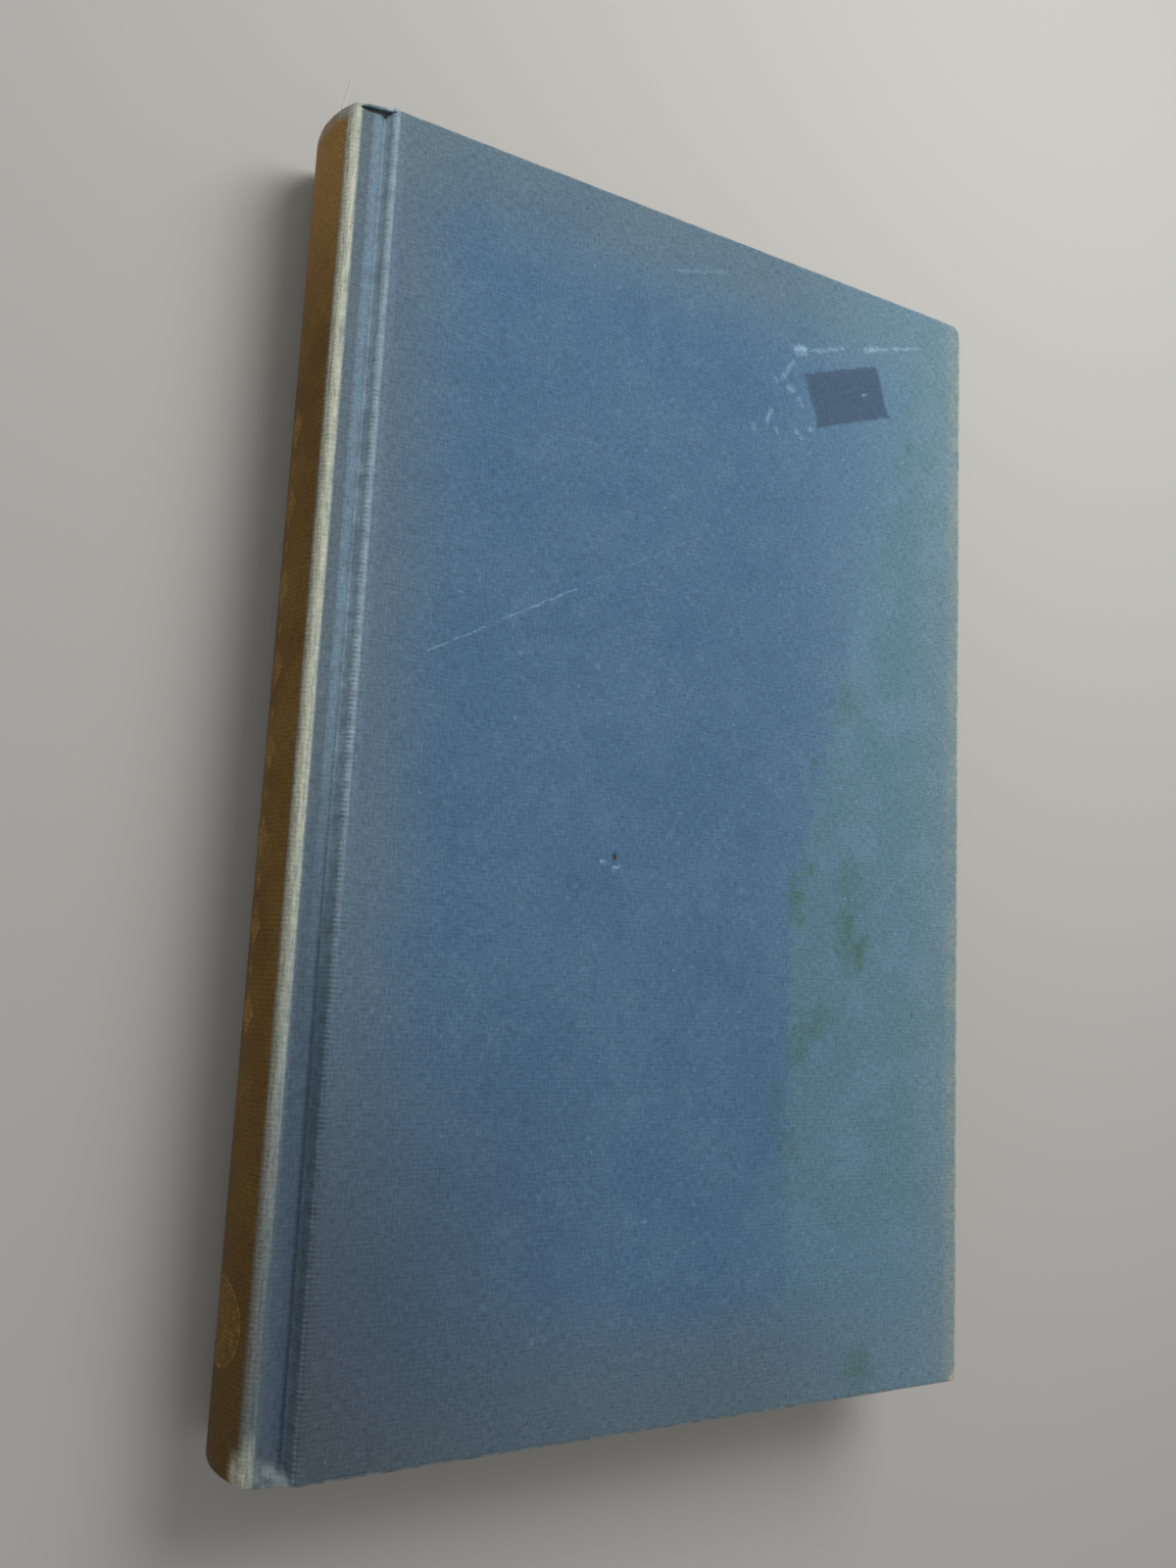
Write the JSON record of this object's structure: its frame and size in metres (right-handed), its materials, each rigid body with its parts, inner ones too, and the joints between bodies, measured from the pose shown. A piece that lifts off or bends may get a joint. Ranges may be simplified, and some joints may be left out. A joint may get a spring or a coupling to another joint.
{
  "type": "hardback book",
  "caption": "Slim cloth-bound hardback book with a rounded hollow back, French joints and covers that open on cloth hinges.",
  "frame": {"origin": "middle of the book's footprint, on the surface that the back cover lies on", "axes": "+X from the spine to the fore edge, +Y from the tail to the head, +Z from the back cover to the front cover"},
  "size_m": [0.1216, 0.19, 0.021],
  "materials": {
    "cover_cloth": "matt woven book cloth, worn",
    "spine_cloth": "matt woven book cloth, sun-toned",
    "pages": "uncoated paper, toned at the edges",
    "endpaper": "uncoated cream paper",
    "board": "grey-brown millboard",
    "spine_card": "thin manila card",
    "kraft_paper": "brown kraft paper",
    "mull": "open-weave starched cotton",
    "thread": "waxed linen thread"
  },
  "bodies": {
    "book_block": {"text_block": "pages", "sewing_thread": "thread", "spine_mull": "mull", "spine_lining": "kraft_paper", "spine_inlay": "spine_card", "spine_cloth": "spine_cloth", "front_flyleaf": "endpaper", "back_flyleaf": "endpaper"},
    "front_cover": {"front_board": "board", "front_cloth": "cover_cloth", "front_pastedown": "endpaper", "front_mull_flange": "mull"},
    "back_cover": {"back_board": "board", "back_cloth": "cover_cloth", "back_pastedown": "endpaper", "back_mull_flange": "mull"}
  },
  "joints": [
    {"name": "front_cover_hinge", "type": "hinge", "parent": "book_block", "child": "front_cover", "pos_m": [-0.0584, 0, 0.0193], "axis": [0, -1, 0], "range_deg": [0, 180]},
    {"name": "back_cover_hinge", "type": "hinge", "parent": "book_block", "child": "back_cover", "pos_m": [-0.0584, 0, 0.0017], "axis": [0, 1, 0], "range_deg": [0, 180]}
  ]
}
